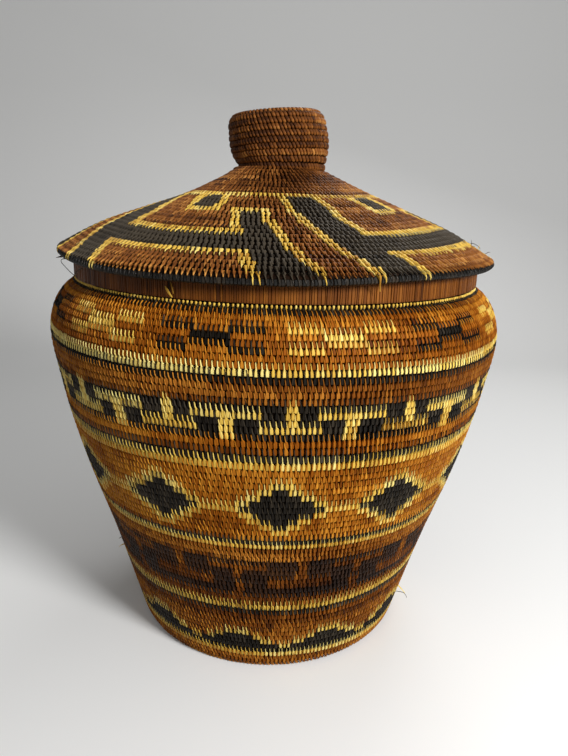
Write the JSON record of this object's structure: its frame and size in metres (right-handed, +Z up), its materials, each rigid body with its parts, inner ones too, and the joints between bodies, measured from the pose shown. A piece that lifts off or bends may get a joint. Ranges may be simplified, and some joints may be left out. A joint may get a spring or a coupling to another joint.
{
  "type": "lidded basket",
  "caption": "Large round coiled basket that flares from a narrow foot to a high shoulder, with a neck hoop and a domed lift-off lid with a knob.",
  "frame": {"origin": "middle of the flat underside, on the surface that the basket stands on", "axes": "+Z up through the knob, the axis that the body and the lid are coiled round; -Y towards the side that the picture shows"},
  "size_m": [0.4822, 0.4822, 0.5639],
  "materials": {
    "brown_root": "matte split root, reddish brown",
    "russet_root": "matte split root, lighter red brown",
    "cream_root": "satin split root, undyed straw",
    "black_root": "matte split root, dyed black",
    "dark_brown_root": "matte split root, dyed brown black",
    "neck_splint": "matte upright splints"
  },
  "bodies": {
    "basket_body": {"base_rounds": "brown_root", "base_start_coil": "brown_root", "foot_rounds": "brown_root", "foot_cream_round": "cream_root", "hill_band": "black_root", "brown_rounds_above_hill_band": "brown_root", "taper_black_round": "black_root", "taper_cream_round": "cream_root", "brown_rounds_below_key_band": "brown_root", "dark_key_band": "dark_brown_root", "brown_rounds_above_key_band": "brown_root", "lower_belly_cream_round": "cream_root", "lower_belly_black_round": "black_root", "diamond_band": "russet_root", "upper_belly_cream_round": "cream_root", "upper_belly_black_round": "black_root", "brown_rounds_below_tee_band": "brown_root", "interlocking_tee_band": "black_root", "brown_rounds_above_tee_band": "brown_root", "shoulder_black_round": "black_root", "shoulder_cream_round": "cream_root", "shoulder_checker_band": "russet_root", "rim_black_round": "black_root", "rim_cream_round": "cream_root", "neck_hoop": "neck_splint"},
    "basket_lid": {"lid_crown_rounds": "brown_root", "lid_cream_round": "cream_root", "lid_upper_key_rounds": "russet_root", "lid_middle_key_rounds": "brown_root", "lid_black_arm_rounds": "black_root", "lid_lower_rounds": "russet_root", "lid_brim_coil": "black_root", "lid_locating_flange": "brown_root", "knob_neck": "brown_root", "knob_barrel": "brown_root", "knob_crown": "brown_root"}
  },
  "joints": [
    {"name": "lid_lift", "type": "slide", "parent": "basket_body", "child": "basket_lid", "axis": [0, 0, 1], "range_m": [0, 0.25]}
  ]
}
